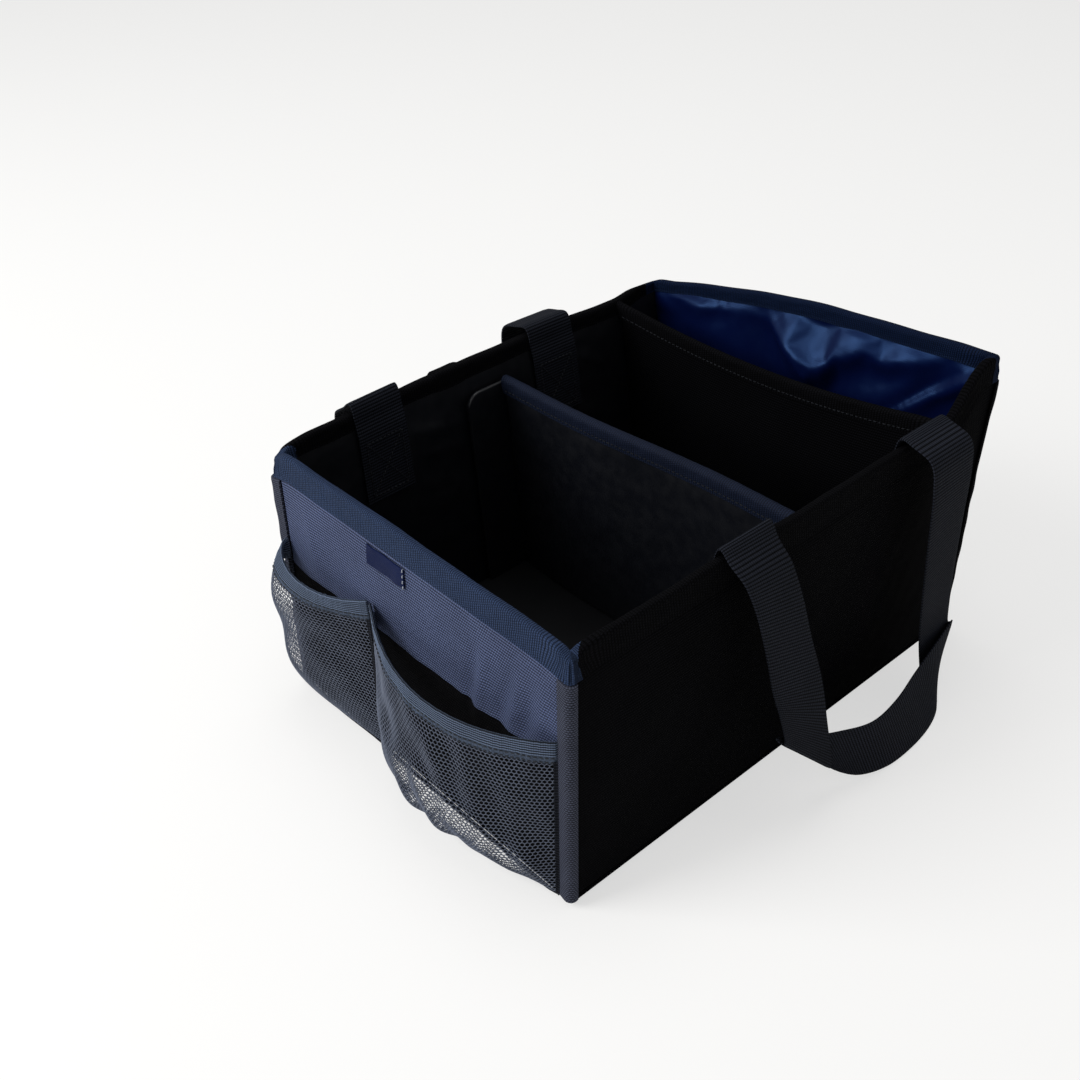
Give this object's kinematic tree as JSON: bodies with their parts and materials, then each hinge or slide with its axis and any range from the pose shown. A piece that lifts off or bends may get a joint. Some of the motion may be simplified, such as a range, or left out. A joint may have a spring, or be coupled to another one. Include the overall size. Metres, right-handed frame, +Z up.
{
  "type": "car organizer bag",
  "caption": "Open box-shaped fabric organizer with a divider, a rear pocket, net pockets on the front and webbing handles.",
  "frame": {"origin": "centre of the base's underside, under the middle of the body without its pockets and handles", "axes": "+Z up, +Y towards the raised rear wall, net pockets at -Y, +X towards the side of the near handle"},
  "size_m": [0.3732, 0.3888, 0.206],
  "materials": {
    "front_oxford": "woven polyester, matt",
    "black_oxford": "woven polyester, matt",
    "coated_lining": "coated sheet, glossy",
    "webbing": "ribbed woven tape, matt",
    "elastic": "ribbed elastic, matt",
    "net": "knitted net, matt",
    "stiffener": "smooth board, matt",
    "grip_tape": "hook and loop strip, matt",
    "label": "woven tab, satin"
  },
  "bodies": {
    "root": {"base_panel": "black_oxford", "base_board": "stiffener", "near_side_panel": "black_oxford", "far_side_panel": "black_oxford", "front_panel": "front_oxford", "rear_panel": "black_oxford", "near_lining": "coated_lining", "far_lining": "coated_lining", "front_lining": "coated_lining", "rear_lining": "coated_lining", "rim_binding": "webbing", "corner_binding_front_near": "webbing", "corner_binding_front_far": "webbing", "corner_binding_rear_near": "webbing", "corner_binding_rear_far": "webbing", "pocket_wall": "black_oxford", "pocket_wall_hem": "coated_lining", "divider_panel": "black_oxford", "divider_top_band": "coated_lining", "divider_flap_near": "black_oxford", "divider_flap_far": "black_oxford", "divider_hook_near": "grip_tape", "divider_hook_far": "grip_tape", "wall_loop_near": "grip_tape", "wall_loop_far": "grip_tape", "mesh_pocket_left": "net", "mesh_pocket_right": "net", "pocket_elastic_left": "elastic", "pocket_elastic_right": "elastic", "pocket_seam_tape": "webbing", "label_tab": "label", "handle_near": "webbing", "handle_far": "webbing"}
  },
  "joints": []
}
